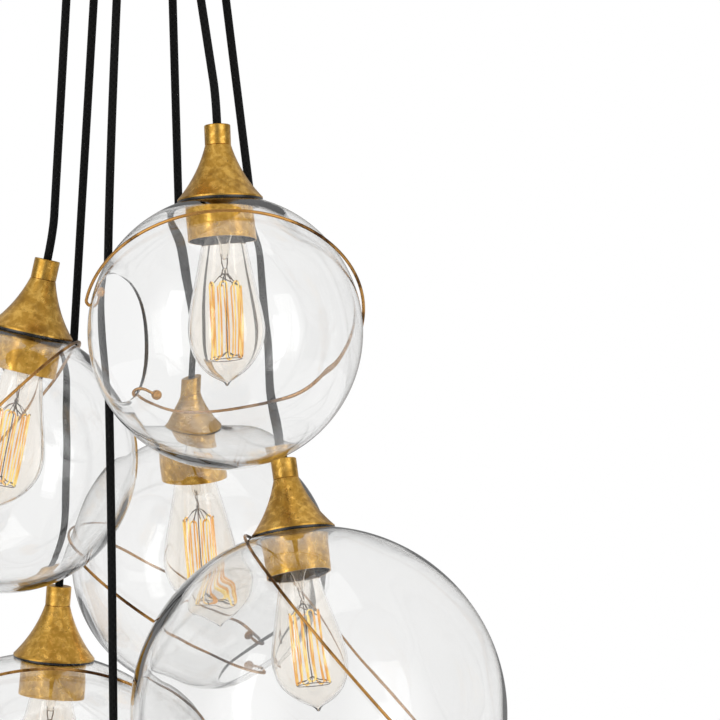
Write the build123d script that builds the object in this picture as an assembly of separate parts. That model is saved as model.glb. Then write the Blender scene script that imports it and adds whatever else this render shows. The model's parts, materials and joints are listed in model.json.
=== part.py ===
"""A cluster pendant light: six clear blown-glass globes on cloth-covered cords, hung at six
heights from one round ceiling canopy.

Frame: millimetres, +Z up. The origin is the middle of the mounting bar's two outlet-box holes,
on the ceiling plane. +Y points away from the usual viewer, +X to the viewer's right.

Each pendant is turned on its own axis, so its pieces are modelled upright in a local frame,
whose origin is the centre of the collar's top and whose -Z runs down the pendant, and are then
placed in the cluster. Only the cord, the side opening and the wire ring depend on directions
in the room.
"""
import os
from math import acos, asin, cos, hypot, pi, radians, sin, sqrt, tan

from build123d import *

# ---------------------------------------------------------------- ceiling canopy and its fixing
canopy_r = 100.0
canopy_depth = 32.0
canopy_wall = 1.5
canopy_edge_fillet = 4.0

box_hole_spacing = 88.9         # holes of a round outlet box, 3 1/2 in apart
box_hole_r = 2.4
bar_length = 172.0
bar_width = 24.0
bar_thickness = 2.5
bar_corner_r = 3.0

post_r = 2.0
post_spacing = 156.0
post_end_cover = 4.5            # how far a post runs into its cap nut
post_nut_flats = 7.0
post_nut_thickness = 3.2
cap_nut_r = 5.5
cap_nut_height = 9.0
cap_nut_dome = 0.75             # rounding of the nut's end, as a share of its radius
cap_nut_end_space = 0.5         # above the post's end in the nut's blind hole

exit_circle_r = 59.0            # circle of the six cord exits
exit_first_angle = 12.0         # degrees from +X
exit_drop = 42.0                # ceiling to the point on which a cord swings
grip_r = 8.5
grip_flange_r = 10.0
grip_flange_thickness = 3.0
grip_neck_r = 6.0
grip_neck_rise = 8.0            # neck above the canopy's bottom face
grip_nose_drop = 4.0            # mouth of the grip below the swing point
grip_mouth_angle = 31.0         # half angle of the bell mouth, wider than any cord's lean
grip_nut_thickness = 3.0
grip_nut_flats = 17.0

splice_count = 3
splice_circle_r = 14.0
splice_r = 8.0
splice_top_r = 5.5
splice_height = 20.0
splice_top_drop = 6.0           # ceiling to the top of a splice connector
tail_r = 3.0
tail_rise_drop = 16.0           # ceiling to the level stretch of a cord's tail
tail_bend_r = 8.0
tail_gap = 0.3                  # a tail's end to its connector

# ---------------------------------------------------------------- one pendant
cord_r = 3.2
cord_grip_depth = 9.0           # cord inside the collar
cord_knee = 20.0                # the cord lines up with its pendant this far above the collar

collar_r = 9.75
collar_length = 15.5
collar_edge_fillet = 0.9

cap_height = 41.0
cap_base_r = 31.75
cap_sag = 2.6                   # hollow of the flared outline under its chord
cap_wall = 1.5
cap_lip = 1.2                   # upright edge at the base
cap_top_thickness = 3.0

nipple_r = 4.9
nipple_bore_r = 3.3
nipple_top_gap = 0.4
locknut_flats = 14.0
locknut_thickness = 4.0

globe_small_r = 102.0
globe_large_r = 142.0
globe_wall = 3.0
globe_neck_hole_r = 20.3
opening_r = 49.0                # side opening, the hand hole for the lamp
rim_fillet = 1.3

gasket_outer_thickness = 1.5    # between the cap's edge and the glass
gasket_outer_width = 3.2
gasket_inner_thickness = 1.2    # between the glass and the sleeve
gasket_inner_width = 3.6

sleeve_r = 25.4
sleeve_wall = 1.3
sleeve_flange_thickness = 2.0
sleeve_end_drop = 31.0          # below the cap's base
sleeve_edge_fillet = 1.0

holder_r = 18.0
holder_length = 36.0
holder_bore_r = 13.5
holder_top_thickness = 3.0
holder_edge_fillet = 2.0
holder_bore_space = 4.0         # below the holder's top plate
ring_nut_r = 22.6
ring_nut_thickness = 5.0

# lamp: a long pear with a pip at its end, on a medium screw base
lamp_r = 29.8
lamp_drop = 104.5               # sleeve's end to the end of the pear
lamp_belly_drop = 64.0          # sleeve's end to the widest place
lamp_neck_r = 16.0
lamp_shoulder = (0.79, 0.52)    # shares of the radius, and of the way down to the belly
lamp_taper = (0.59, 0.68)       # shares of the radius, and of the way from belly to end
lamp_joint_rise = 8.0           # glass above the sleeve's end
lamp_joint_r = 12.6
lamp_wall = 0.9
pip_r = 1.6
pip_length = 3.5
pip_tip_share = 0.6             # its tip's radius over its own
base_r = 13.1
base_length = 19.0
thread_pitch = 3.63
thread_depth = 0.8
thread_crest = 0.5              # from a thread's root to the level of its edge
thread_start = 2.0              # plain band at the base's open end
contact_r = 4.8
contact_height = 5.0

stem_root_r = 8.0
stem_tip_r = 2.4
stem_straight = 9.0             # length of the stem's slim end
stem_drop = 14.0                # sleeve's end to the stem's tip
cage_strands = 12
cage_r = 11.8
cage_top_drop = 30.5            # sleeve's end to the top of the filament cage
cage_height = 56.0
cage_hub_rise = 7.0             # cage's low end to the hub of its lower spokes
filament_r = 0.3
support_r = 0.45

# wire ring round the globe, hooked over the rim of the side opening
wire_r = 1.2
wire_stand_off = 3.4            # wire's centre line above the glass
ball_r = 4.0
ball_clearance = 0.6            # ball to the inside of the glass
hook_gap = 0.5                  # hook's inside to the rim
hook_tail = 9.0                 # wire inside the globe, up to the ball

# ---------------------------------------------------------------- clearances
edge_break = 0.5                # small chamfers
cut_past = 1.0                  # how far a cutter runs past the face that it opens
fit = 0.05                      # radial, threads and pins
slide_fit = 0.1                 # radial, pieces slipped through a hole
swing_gap = 0.35                # round the cord's rounded end in its grip
cord_fit = 0.3                  # radial, cord in its collar
glass_gap = 0.02                # cement and gasket faces against glass

# ---------------------------------------------------------------- the six pendants
# collar_top is where the cord enters the collar. lean is the pendant's own tilt in degrees:
# to the right, and towards the viewer. opening is the direction that the side opening faces.
# The wire ring lies in a plane square to ring_normal, ring_offset from the globe's centre.
# cord_bends are the places where a long cord leans on its neighbours.
PENDANTS = {
    1: dict(globe_r=globe_small_r, collar_top=(56, -80, -159), lean=(2.4, 9.0),
            opening=(-0.912, 0.40, -0.07), ring_normal=(-0.06, 0.762, 0.645),
            ring_offset=19.0, cord_bends=[], exit_place=5),
    2: dict(globe_r=globe_small_r, collar_top=(-75, 12, -262), lean=(-12.5, 1.5),
            opening=(-0.83, 0.16, -0.53), ring_normal=(-0.707, 0.088, 0.70),
            ring_offset=22.0, cord_bends=[], exit_place=3),
    3: dict(globe_r=globe_small_r, collar_top=(25, 149, -353), lean=(4.6, -8.0),
            opening=(0.52, 0.15, -0.84), ring_normal=(0.53, -0.115, 0.84),
            ring_offset=-39.5, cord_bends=[], exit_place=1),
    4: dict(globe_r=globe_large_r, collar_top=(104, -2, -413), lean=(8.1, 13.0),
            opening=(0.84, 0.10, -0.53), ring_normal=(0.752, 0.0, 0.659),
            ring_offset=47.0, cord_bends=[], exit_place=0),
    5: dict(globe_r=globe_large_r, collar_top=(-73, 134, -521), lean=(-4.4, -2.5),
            opening=(-0.93, 0.30, -0.20), ring_normal=(-0.134, 0.875, 0.465),
            ring_offset=15.0, cord_bends=[], exit_place=2),
    6: dict(globe_r=globe_small_r, collar_top=(-22, -76, -650), lean=(0.0, 6.0),
            opening=(-0.80, -0.55, -0.25), ring_normal=(-0.45, 0.30, 0.84),
            ring_offset=10.0, cord_bends=[(-28, -62, -252), (-24, -68, -415)], exit_place=4),
}


# ---------------------------------------------------------------- helpers
def lathe(*outline):
    """Turn a closed outline of (radius, height) points about Z."""
    points = [(r, 0, z) for r, z in outline]
    return revolve(make_face(Polyline(*points, close=True)), Axis.Z)


def disc_ring(outer_r, inner_r, z_low, z_high):
    """A plain ring, or a disc where inner_r is 0."""
    return lathe((inner_r, z_low), (outer_r, z_low), (outer_r, z_high), (inner_r, z_high))


def hex_nut(flats, bore_r, z_low, z_high):
    nut = extrude(RegularPolygon(flats / 2, 6, major_radius=False), z_high - z_low)
    bore = disc_ring(bore_r, 0, z_low - cut_past, z_high + cut_past)
    return nut.moved(Location((0, 0, z_low))) - bore


def tube(path, radius):
    """A round rod along a path of edges that run on smoothly."""
    start = Plane(origin=path @ 0, z_dir=path % 0)
    return sweep(start * Circle(radius), path=path)


def corner_radii(points):
    """The radii of a route's bends, each of which uses up just under half of its shorter run."""
    share = 0.45
    radii = []
    for before, here, after in zip(points, points[1:], points[2:]):
        run_in, run_out = here - before, after - here
        half_turn = radians(run_in.get_angle(run_out)) / 2
        radii.append(share * min(run_in.length, run_out.length) / tan(half_turn))
    return radii


def unit(x, y, z):
    return Vector(x, y, z).normalized()


# ---------------------------------------------------------------- places worked out from the sizes
cap_top = -collar_length
cap_base = cap_top - cap_height
sleeve_end = cap_base - sleeve_end_drop
lamp_joint = sleeve_end + lamp_joint_rise
holder_end = lamp_joint
holder_top = holder_end + holder_length


def globe_centre_z(globe_r):
    """The globe's centre in the pendant's frame: the cap and its gasket rest on the glass."""
    return cap_base - gasket_outer_thickness - sqrt(globe_r**2 - cap_base_r**2)


def sleeve_top_z(globe_r):
    inner_r = globe_r - globe_wall
    glass_at_edge = globe_centre_z(globe_r) + sqrt(inner_r**2 - sleeve_r**2)
    return glass_at_edge - gasket_inner_thickness


def axis_down(pendant):
    right, front = pendant["lean"]
    return unit(tan(radians(right)), -tan(radians(front)), -1)


def pendant_plane(pendant):
    up = axis_down(pendant) * -1
    side = unit(0, 1, 0).cross(up).normalized()
    return Plane(origin=pendant["collar_top"], x_dir=side, z_dir=up)


def globe_centre(pendant):
    reach = -globe_centre_z(pendant["globe_r"])
    return Vector(*pendant["collar_top"]) + axis_down(pendant) * reach


def exit_point(place):
    angle = radians(exit_first_angle + 60 * place)
    return Vector(exit_circle_r * cos(angle), exit_circle_r * sin(angle), -exit_drop)


# ---------------------------------------------------------------- ceiling pieces
def make_canopy():
    pan = disc_ring(canopy_r, 0, -canopy_depth, 0)
    pan = fillet(pan.edges().group_by(Axis.Z)[0], canopy_edge_fillet)
    hollow = disc_ring(canopy_r - canopy_wall, 0, canopy_wall - canopy_depth, cut_past)
    hollow = fillet(hollow.edges().group_by(Axis.Z)[0], canopy_edge_fillet - canopy_wall)
    pan -= hollow
    through = 2 * (canopy_wall + cut_past)
    for place in range(len(PENDANTS)):
        at = exit_point(place)
        pan -= Location((at.X, at.Y, -canopy_depth)) * Cylinder(grip_neck_r + slide_fit, through)
    for x in (-post_spacing / 2, post_spacing / 2):
        pan -= Location((x, 0, -canopy_depth)) * Cylinder(post_r + slide_fit, through)
    return pan


def make_mounting_bar():
    bar = extrude(RectangleRounded(bar_length, bar_width, bar_corner_r), bar_thickness)
    bar = bar.moved(Location((0, 0, -bar_thickness)))
    for spacing, radius in ((box_hole_spacing, box_hole_r), (post_spacing, post_r + fit)):
        for x in (-spacing / 2, spacing / 2):
            hole = Cylinder(radius, bar_thickness + 2 * cut_past)
            bar -= Location((x, 0, -bar_thickness / 2)) * hole
    return bar


def make_canopy_posts():
    """Two threaded posts that hang from the bar, each with a nut under it."""
    low = -canopy_depth - post_end_cover
    post = disc_ring(post_r, 0, low, 0)
    post = chamfer(post.edges().group_by(Axis.Z)[0], edge_break)
    nut_low = -bar_thickness - post_nut_thickness
    nut = hex_nut(post_nut_flats, post_r + fit, nut_low, -bar_thickness)
    return [piece.moved(Location((x, 0, 0)))
            for x in (-post_spacing / 2, post_spacing / 2) for piece in (post, nut)]


def make_cap_nuts():
    """Round nuts that hold the canopy up, screwed onto the posts from below."""
    low = -canopy_depth - cap_nut_height
    nut = disc_ring(cap_nut_r, 0, low, -canopy_depth)
    nut = fillet(nut.edges().group_by(Axis.Z)[0], cap_nut_r * cap_nut_dome)
    hole_end = -canopy_depth - post_end_cover - cap_nut_end_space
    nut -= disc_ring(post_r + fit, 0, hole_end, cut_past - canopy_depth)
    return [nut.moved(Location((x, 0, 0))) for x in (-post_spacing / 2, post_spacing / 2)]


def make_cord_grips():
    """Six bushings with a bell mouth, each with its nut on top of the canopy's sheet."""
    seat_r = cord_r + swing_gap
    nose = -exit_drop - grip_nose_drop
    flange_low = -canopy_depth - grip_flange_thickness
    body = lathe((0, nose), (grip_r - edge_break, nose), (grip_r, nose + edge_break), (grip_r, flange_low),
                 (grip_flange_r, flange_low), (grip_flange_r, -canopy_depth),
                 (grip_neck_r, -canopy_depth), (grip_neck_r, grip_neck_rise - canopy_depth),
                 (0, grip_neck_rise - canopy_depth))
    body -= disc_ring(tail_r + slide_fit, 0, -exit_drop, cut_past)
    body -= Location((0, 0, -exit_drop)) * Sphere(seat_r)
    slope = tan(radians(grip_mouth_angle))
    waist = seat_r / cos(radians(grip_mouth_angle))
    depth = grip_nose_drop + cut_past
    rise = seat_r * sin(radians(grip_mouth_angle))
    body -= lathe((0, -exit_drop - depth), (waist + slope * depth, -exit_drop - depth),
                  (waist - slope * rise, rise - exit_drop), (0, rise - exit_drop))
    sheet_top = canopy_wall - canopy_depth
    nut = hex_nut(grip_nut_flats, grip_neck_r + fit, sheet_top, sheet_top + grip_nut_thickness)
    pieces = []
    for place in range(len(PENDANTS)):
        at = exit_point(place)
        pieces += [piece.moved(Location((at.X, at.Y, 0))) for piece in (body, nut)]
    return pieces


def make_canopy_wiring():
    """The cords' tails inside the canopy, and the twist-on connectors that join them."""
    pieces, connectors = [], []
    level = (tail_rise_drop - splice_top_drop) / splice_height
    splice_side_r = splice_top_r + (splice_r - splice_top_r) * level
    for number in range(splice_count):
        angle = radians(exit_first_angle + 30 + 120 * number)
        middle = Vector(splice_circle_r * cos(angle), splice_circle_r * sin(angle), 0)
        low = -splice_top_drop - splice_height
        cone = lathe((0, low), (splice_r, low), (splice_top_r, -splice_top_drop),
                     (0, -splice_top_drop))
        connectors.append(middle)
        pieces.append(cone.moved(Location(tuple(middle))))
    for place in range(len(PENDANTS)):
        at = exit_point(place)
        top = Vector(at.X, at.Y, -tail_rise_drop)
        middle = connectors[place // 2] + Vector(0, 0, -tail_rise_drop)
        outward = (top - middle).normalized()
        end = middle + outward * (splice_side_r + tail_gap)
        start = at + Vector(0, 0, cord_r + swing_gap + slide_fit)
        pieces.append(tube(FilletPolyline(start, top, end, radius=tail_bend_r), tail_r))
    return pieces


# ---------------------------------------------------------------- pendant pieces, in the local frame
def make_collar():
    """The collar that holds the cord, and the threaded tube and locknut that carry the rest."""
    low = cap_top
    collar = disc_ring(collar_r, 0, low, 0)
    collar = fillet(collar.edges().group_by(Axis.Z)[-1], collar_edge_fillet)
    collar = chamfer(collar.edges().group_by(Axis.Z)[0], edge_break)
    collar -= disc_ring(cord_r + cord_fit, 0, -cord_grip_depth, cut_past)
    nipple_top = -cord_grip_depth - nipple_top_gap
    collar -= disc_ring(nipple_r + fit, 0, low - cut_past, -cord_grip_depth)
    nipple_low = holder_top - holder_top_thickness
    nipple = disc_ring(nipple_r, nipple_bore_r, nipple_low, nipple_top)
    nut_high = cap_top - cap_top_thickness
    locknut = hex_nut(locknut_flats, nipple_r + fit, nut_high - locknut_thickness, nut_high)
    return [collar, nipple, locknut]


def flare(radius_top, radius_base, z_top, z_base):
    """The cap's flared outline, hollow towards the axis."""
    middle_r = (radius_top + radius_base) / 2
    middle_z = (z_top + z_base) / 2
    chord = hypot(radius_base - radius_top, z_top - z_base)
    inward = (z_top - z_base) / chord * cap_sag
    upward = (radius_base - radius_top) / chord * cap_sag
    middle = (middle_r - inward, 0, middle_z - upward)
    return ThreePointArc((radius_top, 0, z_top), middle, (radius_base, 0, z_base))


def make_cap():
    def bell(radius_top, radius_base, z_top, z_edge, z_base):
        outline = [flare(radius_top, radius_base, z_top, z_edge),
                   Polyline((radius_base, 0, z_edge), (radius_base, 0, z_base), (0, 0, z_base),
                            (0, 0, z_top), (radius_top, 0, z_top))]
        return revolve(make_face(Curve() + outline), Axis.Z)

    shell = bell(collar_r, cap_base_r, cap_top, cap_base + cap_lip, cap_base)
    hollow = bell(collar_r - cap_wall / 2, cap_base_r - cap_wall, cap_top - cap_top_thickness,
                  cap_base + cap_lip, cap_base - cut_past)
    hole_low = cap_top - cap_top_thickness - cut_past
    return shell - hollow - disc_ring(nipple_r + fit, 0, hole_low, cap_top + cut_past)


def make_sleeve(globe_r):
    """The brass cup inside the globe, which pulls the glass up against the cap."""
    top = sleeve_top_z(globe_r)
    sleeve = disc_ring(sleeve_r, 0, sleeve_end, top)
    sleeve = fillet(sleeve.edges().group_by(Axis.Z)[-1], sleeve_edge_fillet)
    flange_low = top - sleeve_flange_thickness
    sleeve -= disc_ring(sleeve_r - sleeve_wall, 0, sleeve_end - cut_past, flange_low)
    return sleeve - disc_ring(holder_r + slide_fit, 0, flange_low - cut_past, top + cut_past)


def make_socket(globe_r):
    """The lamp holder, its ring nut, and the two gaskets that cushion the glass."""
    body = disc_ring(holder_r, 0, holder_end, holder_top)
    body = fillet(body.edges().group_by(Axis.Z)[-1], holder_edge_fillet)
    bore_top = holder_top - holder_top_thickness - holder_bore_space
    body -= disc_ring(holder_bore_r, 0, holder_end - cut_past, bore_top)
    body -= disc_ring(nipple_r + fit, 0, bore_top - cut_past, holder_top + cut_past)
    nut_high = sleeve_top_z(globe_r) - sleeve_flange_thickness
    ring_nut = disc_ring(ring_nut_r, holder_r + fit, nut_high - ring_nut_thickness, nut_high)

    centre = Location((0, 0, globe_centre_z(globe_r)))
    outer_r = cap_base_r - 2 * slide_fit
    outer_low = cap_base - 2 * gasket_outer_thickness
    outer = disc_ring(outer_r, outer_r - gasket_outer_width, outer_low, cap_base)
    outer -= centre * Sphere(globe_r + glass_gap)
    inner_r = sleeve_r - 3 * slide_fit
    inner = disc_ring(inner_r, inner_r - gasket_inner_width, sleeve_top_z(globe_r), cap_base)
    inner = inner & (centre * Sphere(globe_r - globe_wall - glass_gap))
    return [body, ring_nut, outer, inner]


def lamp_outline(inset):
    """Half the pear's section, inset by the wall for its inside."""
    def at(radius, drop):
        return (radius - inset, 0, sleeve_end - drop)

    end = (0, 0, sleeve_end - lamp_drop + inset)
    shoulder_r, shoulder_way = lamp_shoulder
    taper_r, taper_way = lamp_taper
    taper_drop = lamp_belly_drop + (lamp_drop - lamp_belly_drop) * taper_way
    pear = Spline(at(lamp_joint_r, -lamp_joint_rise), at(lamp_neck_r, 0),
                  at(lamp_r * shoulder_r, lamp_belly_drop * shoulder_way),
                  at(lamp_r, lamp_belly_drop), at(lamp_r * taper_r, taper_drop), end,
                  tangents=[(0.5, 0, -1), (-1, 0, -0.25)])
    start = at(lamp_joint_r, -lamp_joint_rise)
    sides = Polyline(end, (0, 0, start[2]), start)
    return make_face(Curve() + [pear, sides])


def make_lamp_glass():
    shell = revolve(lamp_outline(0), Axis.Z)
    tip = sleeve_end - lamp_drop - pip_length
    root = tip + pip_length + 2
    shell += lathe((0, tip), (pip_r * pip_tip_share, tip + edge_break), (pip_r, root), (0, root))
    return shell - revolve(lamp_outline(lamp_wall), Axis.Z)


def make_filament():
    """One wire that runs up and down round the cage, with a half turn at each end."""
    low = sleeve_end - cage_top_drop - cage_height
    high = sleeve_end - cage_top_drop
    step = 2 * pi / cage_strands
    turn_r = cage_r * sin(step / 2)
    path = []
    for number in range(cage_strands):
        here, after = ((cage_r * cos(step * n), cage_r * sin(step * n)) for n in (number, number + 1))
        rising = number % 2 == 1
        start_z, end_z = (low + turn_r, high - turn_r) if rising else (high - turn_r, low + turn_r)
        path.append(Line((*here, start_z), (*here, end_z)))
        if number < cage_strands - 1:
            middle = ((here[0] + after[0]) / 2, (here[1] + after[1]) / 2,
                      high if rising else low)
            path.append(ThreePointArc((*here, end_z), middle, (*after, end_z)))
    print(f"filament: least gap between strands {2 * turn_r - 2 * filament_r:.2f} mm")
    return tube(Wire([edge for piece in path for edge in piece.edges()]), filament_r)


def spoke(start, end):
    return tube(Line(start, end), support_r)


def make_lamp_core():
    """Screw base, glass stem, the wire frame on the stem and the filament that it carries."""
    first = lamp_joint + thread_start
    outline = [(0, lamp_joint + fit), (base_r, lamp_joint + fit), (base_r, first)]
    turns = int((base_length - thread_start - 1) / thread_pitch)
    for number in range(turns):
        low = first + number * thread_pitch
        outline += [(base_r - thread_depth, low + thread_crest), (base_r, low + thread_pitch / 2),
                    (base_r - thread_depth, low + thread_pitch - thread_crest)]
    top = lamp_joint + base_length
    outline += [(base_r - 2 * thread_depth, top - 1), (contact_r + 2, top),
                (contact_r, top + contact_height - 1), (contact_r - 2, top + contact_height),
                (0, top + contact_height)]
    base = lathe(*outline)

    stem_tip = sleeve_end - stem_drop
    stem = lathe((0, stem_tip), (stem_tip_r / 2, stem_tip), (stem_tip_r, stem_tip + stem_tip_r),
                 (stem_tip_r, stem_tip + stem_straight), (stem_root_r, lamp_joint),
                 (0, lamp_joint))

    cage_top = sleeve_end - cage_top_drop
    cage_low = cage_top - cage_height
    step = 2 * pi / cage_strands
    turn_r = cage_r * sin(step / 2)
    root = (0, 0, stem_tip - support_r)
    hub = (0, 0, cage_low + cage_hub_rise)
    frame = spoke((0, 0, stem_tip + cut_past), (0, 0, cage_low + cage_hub_rise - cut_past))
    for number in range(cage_strands - 1):
        angle = step * (number + 0.5)
        reach = cage_r * cos(step / 2)
        low_turn = number % 2 == 0
        height = cage_low + filament_r + support_r if low_turn else cage_top - filament_r - support_r
        frame += spoke(hub if low_turn else root, (reach * cos(angle), reach * sin(angle), height))
    strand_top = cage_top - turn_r
    for angle in (0, step * (cage_strands - 1)):
        end = (cage_r * cos(angle), cage_r * sin(angle), strand_top + slide_fit)
        frame += spoke(root, end)
    return [base, stem, frame, make_filament()]


# ---------------------------------------------------------------- pieces that face a direction
def make_globe(pendant):
    """A blown globe with a hole for the lamp holder and a round side opening, its rims melted."""
    globe_r = pendant["globe_r"]
    centre = globe_centre(pendant)
    inner_r = globe_r - globe_wall
    shell = Sphere(globe_r) - Sphere(inner_r)
    half_angle = asin(opening_r / globe_r)
    reach = globe_r + cut_past
    mouth = Plane(origin=(0, 0, 0), z_dir=unit(*pendant["opening"]))
    shell -= mouth * lathe((0, 0), (reach * tan(half_angle), reach), (0, reach))
    neck = Plane(origin=(0, 0, 0), z_dir=axis_down(pendant) * -1)
    shell -= neck * disc_ring(globe_neck_hole_r, 0, 0, reach)
    rims = shell.edges().filter_by(GeomType.CIRCLE)
    rims = rims.filter_by(lambda edge: edge.radius < (opening_r + inner_r) / 2)
    shell = fillet(rims, rim_fillet)
    return shell.moved(Location(tuple(centre)))


def make_ring(pendant):
    """A loose wire ring whose ends hook over the rim and finish in small balls in the globe."""
    globe_r = pendant["globe_r"]
    offset = pendant["ring_offset"]
    normal, opening = unit(*pendant["ring_normal"]), unit(*pendant["opening"])
    outer = sqrt((globe_r + wire_stand_off)**2 - offset**2)
    inner = sqrt((globe_r - globe_wall - ball_r - ball_clearance)**2 - offset**2)
    bend_r = (outer - inner) / 2

    across = opening.dot(normal)
    in_plane = (opening - normal * across).normalized()
    rim_cos = cos(asin(opening_r / globe_r))
    wire_reach = globe_r + wire_stand_off
    rim_angle = acos((rim_cos * wire_reach - offset * across) / (outer * sqrt(1 - across**2)))
    start = rim_angle + (bend_r - wire_r - hook_gap) / outer
    tail = hook_tail / inner

    def at(radius, angle):
        return (radius * cos(angle), radius * sin(angle), 0)

    def hook(side):
        middle = at((outer + inner) / 2, side * start)
        apex = (middle[0] + bend_r * sin(start), middle[1] - side * bend_r * cos(start), 0)
        bend = ThreePointArc(at(outer, side * start), apex, at(inner, side * start))
        inside = ThreePointArc(at(inner, side * start), at(inner, side * (start + tail / 2)),
                               at(inner, side * (start + tail)))
        return [bend, inside]

    loop = ThreePointArc(at(outer, start), at(outer, pi), at(outer, -start))
    edges = [edge for piece in [*hook(1), loop, *hook(-1)] for edge in piece.edges()]
    ring = tube(Wire(edges), wire_r)
    for side in (1, -1):
        ring += Location(at(inner, side * (start + tail))) * Sphere(ball_r)
    origin = globe_centre(pendant) + normal * offset
    return ring.moved(Plane(origin=tuple(origin), x_dir=in_plane, z_dir=normal).location)


def make_cord(number, pendant):
    """One taut cord, from its grip, past its neighbours, down into its collar."""
    down = axis_down(pendant)
    collar_top = Vector(*pendant["collar_top"])
    start = exit_point(pendant["exit_place"])
    points = [start] + [Vector(*bend) for bend in pendant["cord_bends"]]
    points += [collar_top - down * cord_knee, collar_top + down * cord_grip_depth]
    radii = corner_radii(points)
    path = FilletPolyline(*points, radius=radii)
    cord = tube(path, cord_r)
    whole = path.length * pi * cord_r**2
    print(f"cord_{number}: length {path.length:.0f} mm, radii {[round(r) for r in radii]} mm,",
          f"volume over section times length {cord.volume / whole:.4f}")
    return cord + Location(tuple(start)) * Sphere(cord_r)


# ---------------------------------------------------------------- assembly
def write(name, shape):
    pieces = shape if isinstance(shape, list) else [shape]
    solids = [solid for piece in pieces for solid in piece.solids()]
    export_step(solids[0] if len(solids) == 1 else Compound(solids), f"parts/{name}.step")


def main():
    os.makedirs("parts", exist_ok=True)
    write("canopy", make_canopy())
    write("mounting_bar", make_mounting_bar())
    write("canopy_posts", make_canopy_posts())
    write("cap_nuts", make_cap_nuts())
    write("cord_grips", make_cord_grips())
    write("canopy_wiring", make_canopy_wiring())

    collar, cap = make_collar(), make_cap()
    lamp_glass, lamp_core = make_lamp_glass(), make_lamp_core()
    by_size = {r: (make_sleeve(r), make_socket(r)) for r in (globe_small_r, globe_large_r)}
    for number, pendant in PENDANTS.items():
        sleeve, socket = by_size[pendant["globe_r"]]
        place = pendant_plane(pendant).location
        local = dict(collar=collar, cap=cap, sleeve=sleeve, socket=socket,
                     bulb_glass=lamp_glass, bulb_core=lamp_core)
        for name, shape in local.items():
            pieces = shape if isinstance(shape, list) else [shape]
            write(f"{name}_{number}", [piece.moved(place) for piece in pieces])
        write(f"cord_{number}", make_cord(number, pendant))
        write(f"globe_{number}", make_globe(pendant))
        write(f"ring_{number}", make_ring(pendant))
        centre = globe_centre(pendant)
        print(f"globe_{number}: centre {centre.X:.1f}, {centre.Y:.1f}, {centre.Z:.1f} mm")


main()
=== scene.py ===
# %% [markdown]
# # A cluster of blown-glass pendants
#
# The object is a ceiling light: six clear glass globes hang on black cloth cords from one round
# brass canopy. Each globe has a side opening, through which a hand changes the lamp, a flared
# brass cap on top, a brass sleeve inside and a loose wire ring that hooks over the rim of the
# opening. The CAD model gives every size and place, and it moves in the physics model. This
# notebook puts the looks around it: woven cords, uneven glass, lamps with glowing filaments and
# the metal finishes. Everything is in metres, in the frame of the CAD model, with Z up.

# %% Load the CAD frame
import json
from math import cos, pi, radians, sin, sqrt, tan, tanh

import bpy
from mathutils import Matrix, Vector, noise


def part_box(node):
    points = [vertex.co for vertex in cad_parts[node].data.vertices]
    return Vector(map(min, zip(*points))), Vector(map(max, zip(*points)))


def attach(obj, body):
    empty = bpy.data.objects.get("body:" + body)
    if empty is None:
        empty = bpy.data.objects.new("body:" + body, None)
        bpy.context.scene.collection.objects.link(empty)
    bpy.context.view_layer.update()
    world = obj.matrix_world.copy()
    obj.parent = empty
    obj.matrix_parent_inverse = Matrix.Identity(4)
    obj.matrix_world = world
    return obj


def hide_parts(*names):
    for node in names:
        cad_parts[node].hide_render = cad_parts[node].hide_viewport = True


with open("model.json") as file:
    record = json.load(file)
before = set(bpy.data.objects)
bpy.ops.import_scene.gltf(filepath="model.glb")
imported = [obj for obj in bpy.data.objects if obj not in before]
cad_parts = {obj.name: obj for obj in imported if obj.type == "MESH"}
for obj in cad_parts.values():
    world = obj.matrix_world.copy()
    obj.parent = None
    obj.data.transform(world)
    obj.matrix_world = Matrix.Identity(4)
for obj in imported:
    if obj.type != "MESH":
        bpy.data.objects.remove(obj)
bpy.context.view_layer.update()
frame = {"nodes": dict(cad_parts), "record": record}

nodes = frame["nodes"]

# %% [markdown]
# ## The camera
#
# The photograph was taken with a long lens from nearly level, so all lines that run away from us
# stay almost parallel. A 300 mm lens four and a half metres away gives the same drawing. The
# picture shows the middle of the cluster only, left of its centre, so the camera aims to the
# right of the cluster rather than shifting its lens.

# %% Camera
scene = bpy.context.scene
camera_data = bpy.data.cameras.new("camera")
camera_data.lens = 300.0
camera_data.sensor_width = 36.0
camera_data.clip_start = 0.1
camera_data.clip_end = 60.0
camera = bpy.data.objects.new("camera", camera_data)
camera.location = (0.1621, -4.5393, -0.1108)
camera_tilt = 2.862
camera.rotation_euler = (radians(90.0 - camera_tilt), 0.0, 0.0)
scene.collection.objects.link(camera)
scene.camera = camera

# %% [markdown]
# ## Where the six pendants hang
#
# The same values as in the CAD source, in metres. A pendant leans a little to the right and
# towards the viewer, because its heavy ring pulls it off plumb and its cord pushes past its
# neighbours. A small function turns these values into the pendant's own frame: its origin is the
# centre of the collar's top and its -Z runs down the pendant. lean is in degrees, to the right
# and towards the viewer, and bends are points where a taut cord turns on its way down.

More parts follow.
